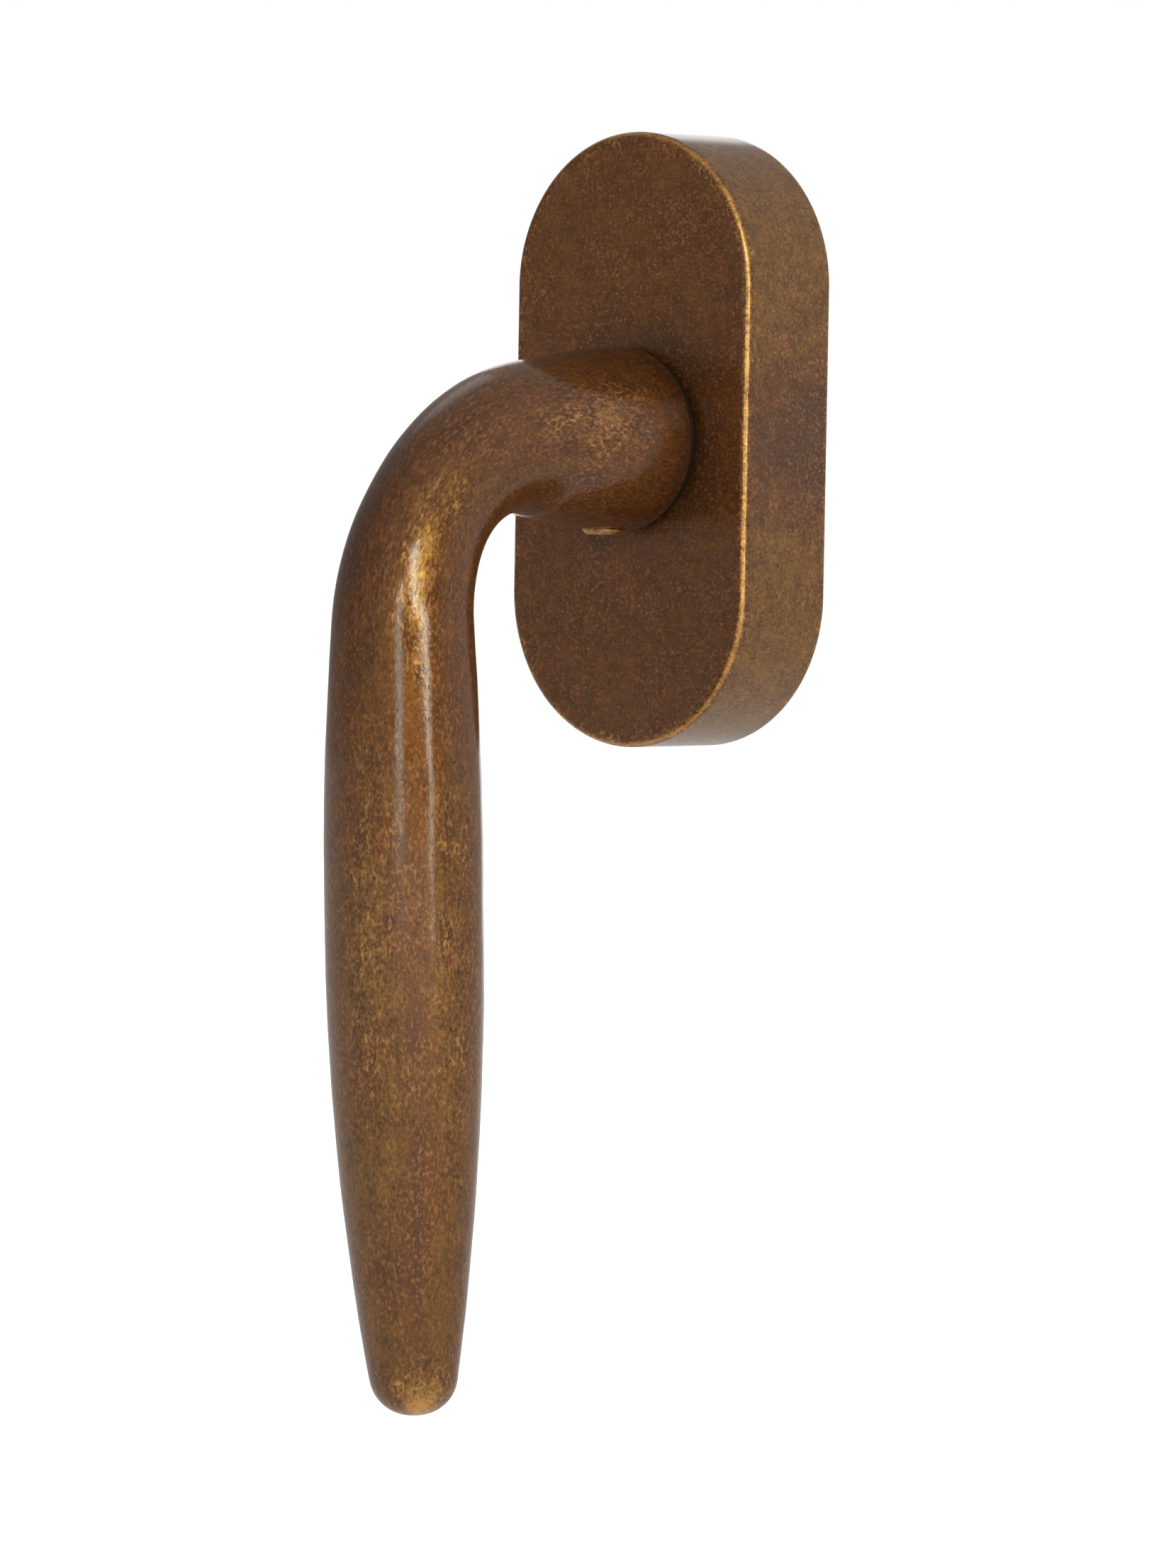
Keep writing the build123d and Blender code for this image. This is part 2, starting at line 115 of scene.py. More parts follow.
def skin(name, rings, start=None, end=None, flows=None, rubs=None, tans=None):
    """A closed surface through rings of points, each ring with the same number. start and end are the points
    that close its ends. Without them, the last ring joins the first. The last three arguments give attributes
    that the bronze reads: where a point is in the metal's own grain, how far its patina is rubbed, and its
    tone, from golden patina (up to 1) to darker (down to -1): painted shade on the lever and round the neck,
    and a darker cloud on the rose's sides."""
    count = len(rings[0])
    points = [p for ring in rings for p in ring]
    faces = []
    pairs = list(zip(range(len(rings) - 1), range(1, len(rings))))
    if start is None:
        pairs.append((len(rings) - 1, 0))
    for a, b in pairs:
        for i in range(count):
            j = (i + 1) % count
            faces.append((a * count + i, a * count + j, b * count + j, b * count + i))
    if start is not None:
        points += [start, end]
        last = (len(rings) - 1) * count
        for i in range(count):
            j = (i + 1) % count
            faces.append((len(points) - 2, j, i))
            faces.append((len(points) - 1, last + i, last + j))
    mesh = bpy.data.meshes.new(name)
    mesh.from_pydata([p * MM for p in points], [], faces)
    fill(mesh, "flow", "FLOAT_VECTOR", "vector", [c for p in flows or points for c in p])
    fill(mesh, "rub", "FLOAT", "value", rubs or [0.0] * len(points))
    fill(mesh, "tan", "FLOAT", "value", tans or [0.5] * len(points))
    face_outwards(mesh)
    mesh.shade_smooth()
    mesh.set_sharp_from_angle(angle=SHARP_ANGLE)
    piece = bpy.data.objects.new(name, mesh)
    bpy.context.scene.collection.objects.link(piece)
    return piece


def fill(mesh, name, kind, field, values):
    """Adds an attribute with one value for each point, and sets it at once."""
    mesh.attributes.new(name, kind, "POINT").data.foreach_set(field, values)


def face_outwards(mesh):
    """Turns a closed mesh's faces outwards, if its volume comes out below 0."""
    volume = 0.0
    for face in mesh.polygons:
        a, b, *rest = [mesh.vertices[i].co for i in face.vertices]
        for c in rest:
            volume += a.dot(b.cross(c))
            b = c
    if volume < 0:
        mesh.flip_normals()


def circle(radius, forward, z=0.0, count=AROUND):
    """A ring about a line along Y, at this height."""
    return polar(lambda angle: radius, forward, z, count)


def polar(radius_at, forward, z=0.0, count=AROUND):
    """A ring about a line along Y, with its radius given by the angle."""
    ring = []
    for i in range(count):
        angle = 2 * math.pi * i / count
        radius = radius_at(angle)
        ring.append(Vector((radius * math.cos(angle), -forward, z + radius * math.sin(angle))))
    return ring


def square_radius(half):
    """Outline of a square, from half its width."""
    return lambda angle: half / max(abs(math.cos(angle)), abs(math.sin(angle)))


def hexagon_radius(apothem):
    """Outline of a hexagon, from half its width across flats."""
    step = math.pi / 3
    return lambda angle: apothem / math.cos((angle + step / 2) % step - step / 2)


def cross_radius(half_width, half_length):
    """Outline of a plus-shaped recess."""

    def radius_at(angle):
        c, s = abs(math.cos(angle)), abs(math.sin(angle))
        return min(half_length / max(c, s), half_width / max(min(c, s), 1e-6))

    return radius_at


def ease(share):
    """0 to 1 along half a cosine wave."""
    return (1 - math.cos(math.pi * min(max(share, 0.0), 1.0))) / 2


def hill(value, middle, half_width):
    """1 at the middle, 0 from half_width away."""
    return ease(1 - abs(value - middle) / half_width)


def hill_deg(angle, middle, half_width):
    """hill() of an angle, with its middle and half width in degrees."""
    return hill(angle, math.radians(middle), math.radians(half_width))


def unevenness(point, size, height):
    """Hand-finished metal is never quite true: a smooth random height for this point, all in millimetres."""
    return height * (noise.noise(point / size) + 0.5 * noise.noise(point / size * 2.3 + Vector((7, 3, 5))))


# ---- lever ------------------------------------------------------------------------------------------

BEND_ANGLE = math.pi / 2 + GRIP_LEAN
BEND_START = ROSE_FACE + NECK_LENGTH - NECK_END
BEND_END = BEND_START + BEND_RADIUS * BEND_ANGLE
BEND_END_FORWARD = ROSE_FACE + NECK_LENGTH + BEND_RADIUS * math.sin(BEND_ANGLE)
BEND_END_HEIGHT = -BEND_RADIUS * (1 - math.cos(BEND_ANGLE))
TIP_LEAN = math.asin(math.sin(GRIP_LEAN) + (GRIP_TIP_DROP + BEND_END_HEIGHT) / GRIP_BOW_RADIUS)
LEVER_LENGTH = BEND_END + GRIP_BOW_RADIUS * (TIP_LEAN - GRIP_LEAN)
WAIST_PLACE = 36.0
BELLY_PLACE = 76.0
TAPER_PLACE = 82.0


def centreline(place):
    """(forward, height, turn) of the lever's centreline at this length from the neck's end."""
    if place <= BEND_START:
        return NECK_END + place, 0.0, 0.0
    if place <= BEND_END:
        turn = (place - BEND_START) / BEND_RADIUS
        forward = ROSE_FACE + NECK_LENGTH + BEND_RADIUS * math.sin(turn)
        return forward, -BEND_RADIUS * (1 - math.cos(turn)), turn
    lean = GRIP_LEAN + (place - BEND_END) / GRIP_BOW_RADIUS
    forward = BEND_END_FORWARD - GRIP_BOW_RADIUS * (math.cos(GRIP_LEAN) - math.cos(lean))
    height = BEND_END_HEIGHT - GRIP_BOW_RADIUS * (math.sin(lean) - math.sin(GRIP_LEAN))
    return forward, height, math.pi / 2 + lean


def mean_radius(place):
    """The lever's thickness: neck to waist, waist to belly, and a parabola from the belly to the tip."""
    if place <= WAIST_PLACE:
        radius = NECK_RADIUS + (WAIST_RADIUS - NECK_RADIUS) * ease(place / WAIST_PLACE)
        inset = max(NECK_FILLET - place, 0.0)
        return radius - NECK_FILLET + math.sqrt(NECK_FILLET**2 - inset**2)
    swell = ease(min((place - WAIST_PLACE) / (BELLY_PLACE - WAIST_PLACE), 1.0) ** 0.75)
    dome_start = LEVER_LENGTH - TIP_ROUNDING
    taper = max(place - TAPER_PLACE, 0.0) / (dome_start - TAPER_PLACE)
    radius = WAIST_RADIUS + (BELLY_RADIUS - WAIST_RADIUS) * swell - (BELLY_RADIUS - TIP_RADIUS) * taper**2
    into_dome = min(max(place - dome_start, 0.0) / TIP_ROUNDING, 1.0)
    return radius * (1 - into_dome**2.4) ** (1 / 2.2)


# Wear, patina and painted shade by place along the lever, in millimetres from the neck's end, and by angle
# round it. On the neck, 90 degrees is its top and -90 its underside. On the grip, 90 is its front. 0 is the
# right side.


def lever_rub(place, angle):
    """How far hands have rubbed the patina: over the bend, on the neck's right, down the grip, at the tip."""
    bend = 0.74 * hill(place, 44, 17) * hill_deg(angle, 40, 29)
    neck = 0.62 * hill(place, 14, 12) * hill_deg(angle, 14, 44)
    sides = max(hill_deg(angle, 10, 24), hill_deg(angle, 76, 30))
    palm = 0.42 * hill(place, 84, 34) * sides + 0.10 * hill(place, 92, 50)
    tip = 0.98 * ease((place - LEVER_LENGTH + 9) / 8) * hill_deg(angle, 37, 80)
    return max(bend, neck, palm, tip)


def lever_tan(place, angle):
    """More golden patina down the grip's sides, with a painted dark reflection down its middle, and painted
    shade at the neck's end, top and underside, and on the bend's left and inside."""
    # painted shade: darker at the neck's end next to the rose, on its top and underside, and on the bend's
    # outer side
    end = 0.9 * (1 - ease(place / 5.5))
    top = 0.7 * hill_deg(angle, 90, 45) * (1 - ease((place - 10) / 14))
    under = 0.8 * hill_deg(angle, -90, 52) * (1 - ease((place - 42) / 22))
    outer = 0.9 * hill_deg(angle, 130, 66) * hill(place, 40, 24)
    # golden patina on the grip's sides, with a painted dark reflection down its middle
    gold = 0.45 * ease((place - 55) / 35) * (1 - 1.8 * hill_deg(angle, 43, 22))
    return gold - max(end, top, under, outer)


def lever_ring(place):
    """(points, flows, rubs, tans) of the oval across the centreline at this place."""
    forward, height, turn = centreline(place)
    radius = mean_radius(place)
    oval_share = ease(place / WAIST_PLACE)
    half_width = radius * (1 + (OVAL_WIDTH - 1) * oval_share)
    half_depth = radius * (1 + (OVAL_DEPTH - 1) * oval_share)
    outward = Vector((0, -math.sin(turn), math.cos(turn)))
    points, flows, rubs, tans = [], [], [], []
    for i in range(AROUND):
        angle = 2 * math.pi * i / AROUND
        across = Vector((half_width * math.cos(angle), half_depth * math.sin(angle), place))
        bump = unevenness(across, 9.0, UNEVENNESS) * min(radius / 3, 1)
        across.x += bump * math.cos(angle)
        across.y += bump * math.sin(angle)
        points.append(Vector((across.x, -forward, height)) + across.y * outward)
        flows.append(Vector((across.x, across.y, place * GRAIN_STRETCH)))
        turned = (angle + math.pi) % (2 * math.pi) - math.pi
        rubs.append(lever_rub(place, turned))
        tans.append(lever_tan(place, turned))
    return points, flows, rubs, tans


def lever_places():
    """Places of the lever's rings: close together on the neck's edge and on the tip's dome."""
    steps = 8
    edge = [NECK_FILLET * (1 - math.cos(math.pi / 2 * i / steps)) for i in range(steps)]
    dome_start = LEVER_LENGTH - TIP_ROUNDING
    length = dome_start - NECK_FILLET
    count = round(length / 0.45)
    middle = [NECK_FILLET + length * i / count for i in range(count)]
    dome_steps = 26
    dome = [dome_start + TIP_ROUNDING * math.sin(math.pi / 2 * i / dome_steps) for i in range(dome_steps)]
    return edge + middle + dome


def make_lever():
    rings = [
        polar(square_radius(SOCKET_HALF), SOCKET_BOTTOM),
        polar(square_radius(SOCKET_HALF), SPIGOT_END),
        circle(SPIGOT_RADIUS - 0.3, SPIGOT_END),
        circle(SPIGOT_RADIUS, SPIGOT_END + 0.3),
        circle(SPIGOT_RADIUS, NECK_END),
    ]
    flows = [p for ring in rings for p in ring]
    rubs = [0.0] * len(flows)
    tans = [0.0] * len(flows)
    for place in lever_places():
        points, ring_flows, ring_rubs, ring_tans = lever_ring(place)
        rings.append(points)
        flows += ring_flows
        rubs += ring_rubs
        tans += ring_tans
    forward, height, _ = centreline(LEVER_LENGTH)
    start = Vector((0, -SOCKET_BOTTOM, 0))
    end = Vector((0, -forward, height))
    flows += [start, Vector((0, 0, LEVER_LENGTH * GRAIN_STRETCH))]
    rubs += [0.0, 0.6]
    tans += [0.0, 0.0]
    lever = skin("lever", rings, start, end, flows, rubs, tans)
    cut_grub_hole(lever)
    return lever


def cut_grub_hole(lever):
    """Drills and countersinks the grub screw's hole under the neck."""
    profile = [
        (GRUB_RADIUS + 0.05, -1.0),
        (GRUB_RADIUS + 0.05, -NECK_RADIUS + 0.25),
        (GRUB_RADIUS + 0.9, -NECK_RADIUS - 0.6),
    ]
    rings = []
    for radius, height in profile:
        ring = circle(radius, GRUB_FORWARD, count=64)
        rings.append([Vector((p.x, -GRUB_FORWARD + p.z, height)) for p in ring])
    top = Vector((0, -GRUB_FORWARD, profile[0][1]))
    bottom = Vector((0, -GRUB_FORWARD, profile[-1][1]))
    cutter = skin("cutter", rings, top, bottom)
    cut = lever.modifiers.new("cut", "BOOLEAN")
    cut.operation = "DIFFERENCE"
    cut.solver = "EXACT"
    cut.object = cutter
    depsgraph = bpy.context.evaluated_depsgraph_get()
    finished = bpy.data.meshes.new_from_object(lever.evaluated_get(depsgraph))
    lever.modifiers.clear()
    lever.data = finished
    finished.set_sharp_from_angle(angle=SHARP_ANGLE)
    bpy.data.objects.remove(cutter)


# ---- rose -------------------------------------------------------------------------------------------

ROSE_ARC_STEPS = 88
ROSE_SIDE_STEPS = 56

# how far the rose is rubbed: its back edge, its walls, next to the front edge, and that edge's two sides and
# what its middle has on top of them
BACK_EDGE_RUB = 0.5
WALL_RUB = 0.13
BESIDE_EDGE_RUB = 0.35
EDGE_RUB, EDGE_EXTRA_RUB = 0.32, 0.52


def rose_outline():
    """The rose's outline as (middle, x, z) for each point: it lies a radius away from the point at height
    middle on the Z axis, in the direction (x, z)."""
    out = []
    for i in range(ROSE_ARC_STEPS):
        angle = math.pi * i / ROSE_ARC_STEPS
        out.append((ROSE_STRAIGHT, math.cos(angle), math.sin(angle)))
    for i in range(ROSE_SIDE_STEPS):
        out.append((ROSE_STRAIGHT * (1 - 2 * i / ROSE_SIDE_STEPS), -1.0, 0.0))
    for i in range(ROSE_ARC_STEPS):
        angle = math.pi + math.pi * i / ROSE_ARC_STEPS
        out.append((-ROSE_STRAIGHT, math.cos(angle), math.sin(angle)))
    for i in range(ROSE_SIDE_STEPS):
        out.append((-ROSE_STRAIGHT * (1 - 2 * i / ROSE_SIDE_STEPS), 1.0, 0.0))
    return out


OUTLINE = rose_outline()


def rose_ring(inset, forward):
    """The rose's outline, moved inwards by inset."""
    radius = ROSE_RADIUS - inset
    return [Vector((radius * x, -forward, middle + radius * z)) for middle, x, z in OUTLINE]


def bore_ring(radius, forward):
    """A circle with one point towards each point of the outline."""
    ring = []
    for p in rose_ring(0, forward):
        ring.append(Vector((p.x, 0, p.z)).normalized() * radius + Vector((0, -forward, 0)))
    return ring


def between(outer, inner, share):
    """A ring this share of the way from outer to inner."""
    return [a.lerp(b, share) for a, b in zip(outer, inner)]


def make_rose():
    """A shell: up the outer wall, over the face, down the bore, out along the inside, down to the back."""
    rings, rub_rows = [], []

    def add(ring, rub=0.0):
        rings.append(ring)
        rub_rows.append(rub)

    steps = 4
    for i in range(steps + 1):
        turn = math.pi / 2 * i / steps
        inset = ROSE_BACK_EDGE_RADIUS * (1 - math.sin(turn))
        add(rose_ring(inset, ROSE_BACK + ROSE_BACK_EDGE_RADIUS * (1 - math.cos(turn))), BACK_EDGE_RUB)
    wall_start = ROSE_BACK + ROSE_BACK_EDGE_RADIUS
    wall_end = ROSE_FACE - ROSE_EDGE_RADIUS
    steps = 26
    for i in range(1, steps):
        forward = wall_start + (wall_end - wall_start) * i / steps
        back_edge = BACK_EDGE_RUB * ease(1 - (forward - wall_start) / 0.6)
        front_edge = BESIDE_EDGE_RUB * ease(1 - (wall_end - forward) / 0.7)
        add(rose_ring(0, forward), max(back_edge, front_edge, WALL_RUB))
    steps = 10
    for i in range(steps + 1):
        turn = math.pi / 2 * i / steps
        inset = ROSE_EDGE_RADIUS * (1 - math.cos(turn))
        forward = wall_end + ROSE_EDGE_RADIUS * math.sin(turn)
        add(rose_ring(inset, forward), EDGE_RUB + EDGE_EXTRA_RUB * math.sin(2 * turn) ** 2)
    face_edge = rose_ring(ROSE_EDGE_RADIUS, ROSE_FACE)
    bore_edge = bore_ring(ROSE_BORE_RADIUS + 0.25, ROSE_FACE)
    steps = 30
    for i in range(1, steps + 1):
        share = (i / steps) ** 1.3
        distance = share * (ROSE_RADIUS - ROSE_BORE_RADIUS)
        add(between(face_edge, bore_edge, share), BESIDE_EDGE_RUB * ease(1 - distance / 0.35))
    add(bore_ring(ROSE_BORE_RADIUS, ROSE_FACE - 0.25))
    inner_face = ROSE_FACE - ROSE_FRONT_WALL
    add(bore_ring(ROSE_BORE_RADIUS, inner_face))
    cavity_edge = rose_ring(ROSE_WALL, inner_face)
    for i in range(1, 7):
        add(between(bore_ring(ROSE_BORE_RADIUS, inner_face), cavity_edge, i / 6))
    for forward, depth in clip_groove():
        ring = rose_ring(ROSE_WALL, forward)
        for p in ring:
            if abs(p.z) < GROOVE_HALF_LENGTH:
                p.x += math.copysign(depth, p.x)
        add(ring)
    add(rose_ring(ROSE_WALL, ROSE_BACK))

    points = [p for ring in rings for p in ring]
    flows = [p.copy() for p in points]
    rubs = [rub for rub in rub_rows for _ in OUTLINE]
    tans = [rose_tan(p) for p in points]
    for p in points:
        if -p.y > inner_face:
            flat = Vector((p.x, 0, p.z))
            p.y += unevenness(flat, 11.0, UNEVENNESS) * ease((-p.y - inner_face) / ROSE_FRONT_WALL)
    return skin("rose", rings, flows=flows, rubs=rubs, tans=tans)


def rose_tan(p):
    """The colour at a point: near 1 is golden patina, on the walls, 0 is brown, on the face, and below 0 is
    darker, in a cloud on the middle of each side and as a painted shadow in a ring round the neck."""
    wall = ease((ROSE_FACE + p.y) / 1.6)
    cloud = hill(p.z, 0, 15) * (0.7 + 0.3 * hill(-p.y, 2.0, 11.0))
    out = math.hypot(p.x, p.z)
    # painted shadow: darker on the face round the neck, reaching further to its right, where the neck's
    # shadow falls
    painted_neck_shadow = 1 - ease((out - NECK_RADIUS) / (6.0 + 4.0 * max(p.x, 0.0) / out))
    return wall * (0.9 - 2.0 * cloud) - 0.7 * (1 - wall) * painted_neck_shadow


def clip_groove():
    """(forward, depth) down the cavity's wall, past the groove that the clips snap into."""
    clip_low, clip_high = node_box("rose_clip_right")
    top, bottom = -clip_low.y + GROOVE_GAP, -clip_high.y - GROOVE_GAP
    return [(top + 0.01, 0.0), (top, GROOVE_DEPTH), (bottom, GROOVE_DEPTH), (bottom - 0.01, 0.0)]


# ---- bush and screws --------------------------------------------------------------------------------


def make_bush():
    """Nylon bush: a sleeve in the rose's bore with a thin rounded flange."""
    sleeve = ROSE_BORE_RADIUS - 0.02
    edge = 0.18
    profile = [
        (BUSH_BORE_RADIUS + 0.2, BUSH_BACK),
        (sleeve - 0.2, BUSH_BACK),
        (sleeve, BUSH_BACK + 0.2),
        (sleeve, ROSE_FACE),
        (BUSH_FLANGE_RADIUS - edge, ROSE_FACE),
        (BUSH_FLANGE_RADIUS, ROSE_FACE + edge),
        (BUSH_FLANGE_RADIUS, BUSH_FRONT - edge),
        (BUSH_FLANGE_RADIUS - edge, BUSH_FRONT),
        (BUSH_BORE_RADIUS + 0.2, BUSH_FRONT),
        (BUSH_BORE_RADIUS, BUSH_FRONT - 0.2),
        (BUSH_BORE_RADIUS, BUSH_BACK + 0.2),
    ]
    return skin("bush", [circle(radius, forward) for radius, forward in profile])


THREAD_PITCH = 0.8  # M5


def threaded(radius, depth, forward, z=0.0):
    """A ring of a screw thread: its radius falls by depth between one crest and the next."""

    def radius_at(angle):
        share = (forward / THREAD_PITCH + angle / (2 * math.pi)) % 1.0
        return radius - depth * min(1.0, max(0.0, 2.6 * abs(share - 0.5) - 0.15))

    return polar(radius_at, forward, z, SCREW_AROUND)


def make_grub_screw():
    """M5 set screw: hexagon socket and chamfered foot below the neck, thread above."""
    length = GRUB_HIGH.z - GRUB_LOW.z
    socket_depth = 3.0
    socket, socket_mouth = hexagon_radius(1.25), hexagon_radius(1.37)
    rings = [
        polar(socket, socket_depth, count=SCREW_AROUND),
        polar(socket, 0.12, count=SCREW_AROUND),
        polar(socket_mouth, 0.0, count=SCREW_AROUND),
        circle(GRUB_RADIUS - 0.5, 0.0, count=SCREW_AROUND),
        circle(GRUB_RADIUS - 0.42, 0.04, count=SCREW_AROUND),
        circle(GRUB_RADIUS - 0.06, 0.4, count=SCREW_AROUND),
    ]
    steps = 60
    for i in range(steps + 1):
        depth = 0.5 + (length - 1.0) * i / steps
        rings.append(threaded(GRUB_RADIUS, 0.4 * ease((depth - 0.5) / 0.6), depth))
    rings.append(circle(GRUB_RADIUS - 0.5, length, count=SCREW_AROUND))

    def stand(p):
        """From a screw that points along -Y to one that points up from its foot."""
        return Vector((p.x, -GRUB_FORWARD + p.z, GRUB_LOW.z - p.y))

    rings = [[stand(p) for p in ring] for ring in rings]
    start = stand(Vector((0, -socket_depth, 0)))
    end = stand(Vector((0, -length, 0)))
    rubs = [0.75] * (len(rings) * SCREW_AROUND + 2)
    return skin("grub_screw", rings, start, end, rubs=rubs)


def make_mounting_screws():
    """Two countersunk M5 screws with rolled threads behind the lugs."""
    low, high = node_box("mounting_screws")
    top, tip = -low.y, -high.y
    head_radius, head_height, shank_radius, thread_radius = 4.6, 2.5, 2.2, 2.5
    recess_depth = 1.8
    recess = cross_radius(0.5, 2.2)
    thread_start = -node_box("base_housing")[1].y - 0.1
    screws = []
    for name, side in (("mounting_screw_upper", 1), ("mounting_screw_lower", -1)):
        z = side * (high.z - head_radius)
        rings = [
            polar(recess, top - recess_depth, z, SCREW_AROUND),
            polar(recess, top, z, SCREW_AROUND),
            circle(head_radius - 0.15, top, z, SCREW_AROUND),
            circle(head_radius, top - 0.15, z, SCREW_AROUND),
            circle(shank_radius, top - head_height, z, SCREW_AROUND),
            circle(shank_radius, thread_start + 0.15, z, SCREW_AROUND),
        ]
        steps = 110
        for i in range(steps + 1):
            forward = thread_start - 0.15 + (tip + 0.5 - thread_start + 0.15) * i / steps
            rings.append(threaded(thread_radius, 0.42, forward, z))
        rings.append(circle(thread_radius - 0.75, tip, z, SCREW_AROUND))
        start, end = Vector((0, recess_depth - top, z)), Vector((0, -tip, z))
        screws.append(skin(name, rings, start, end))
    return screws


# ---- materials --------------------------------------------------------------------------------------


class Nodes:
    """A material's or world's node tree, written as expressions: most methods make a node and return its
    output."""

    def __init__(self, owner):
        self.owner = owner
        owner.use_nodes = True
        self.tree = owner.node_tree

    def plug(self, socket, value):
        """Links another node's output to this socket, or sets the socket to a constant."""
        if isinstance(value, bpy.types.NodeSocket):
            self.tree.links.new(value, socket)
        else:
            socket.default_value = value

    def make(self, kind, inputs, **settings):
        node = self.tree.nodes.new(kind)
        for key, value in settings.items():
            setattr(node, key, value)
        for key, value in inputs.items():
            self.plug(node.inputs[key], value)
        return node

    def attribute(self, name, output):
        return self.make("ShaderNodeAttribute", {}, attribute_name=name).outputs[output]

    def object_mm(self):
        """The object's own coordinates, in millimetres."""
        place = self.make("ShaderNodeTexCoord", {}).outputs["Object"]
        return self.stretched(place, (1 / MM, 1 / MM, 1 / MM))

    def stretched(self, vector, scale):
        inputs = {0: vector, 1: scale}
        return self.make("ShaderNodeVectorMath", inputs, operation="MULTIPLY").outputs[0]

    def noise(self, vector, size, detail=4.0, roughness=0.55, distortion=0.0):
        """Fractal noise with lumps about this many millimetres across."""
        inputs = {"Vector": vector, "Scale": 1 / size, "Detail": detail, "Roughness": roughness}
        inputs["Distortion"] = distortion
        return self.make("ShaderNodeTexNoise", inputs).outputs["Fac"]

    def cells(self, vector, size):
        """Distance to the nearest of many scattered points, about this many millimetres apart."""
        inputs = {"Vector": vector, "Scale": 1 / size}
        return self.make("ShaderNodeTexVoronoi", inputs).outputs["Distance"]

    def ramp(self, value, low, high, to_low=0.0, to_high=1.0, kind="SMOOTHSTEP"):
        """From to_low to to_high as value goes from low to high."""
        inputs = {0: value, 1: low, 2: high, 3: to_low, 4: to_high}
        return self.make("ShaderNodeMapRange", inputs, interpolation_type=kind).outputs[0]

    def math(self, operation, a, b=0.0, clamp=False):
        return self.make("ShaderNodeMath", {0: a, 1: b}, operation=operation, use_clamp=clamp).outputs[0]

    def mix(self, share, a, b):
        """Colour a, going to colour b as share goes to 1."""
        inputs = {0: share, 6: a, 7: b}
        return self.make("ShaderNodeMix", inputs, data_type="RGBA").outputs[2]

    def bump(self, height, distance_mm, strength=1.0, normal=None):
        inputs = {"Height": height, "Distance": distance_mm * MM, "Strength": strength}
        if normal is not None:
            inputs["Normal"] = normal
        return self.make("ShaderNodeBump", inputs).outputs[0]

    def finish(self, **values):
        """Sets the shader's sockets, named with _ for each space, and returns the material."""
        shader = self.tree.nodes["Principled BSDF"]
        for key, value in values.items():
            self.plug(shader.inputs[key.replace("_", " ")], value)
        return self.owner


def new_material(name):
    """The node tree of a new material."""
    return Nodes(bpy.data.materials.new(name))


def rgb(red, green, blue):
    return (red, green, blue, 1.0)


WHITE = rgb(1.0, 1.0, 1.0)
REDDISH_LIGHT, GOLDEN_LIGHT = rgb(0.262, 0.088, 0.013), rgb(0.372, 0.160, 0.022)
REDDISH_DARK, GOLDEN_DARK = rgb(0.075, 0.024, 0.007), rgb(0.088, 0.036, 0.007)
REDDISH_SPECK, GOLDEN_SPECK = rgb(0.60, 0.222, 0.082), rgb(0.58, 0.270, 0.060)
# dark brown for painted shade, where the tone goes below 0; it also darkens the cloud on the rose's sides
PAINTED_SHADE_BROWN = rgb(0.100, 0.036, 0.012)
BARE_BRONZE = rgb(0.78, 0.385, 0.100)
PIT_COLOUR = rgb(0.05, 0.020, 0.010)


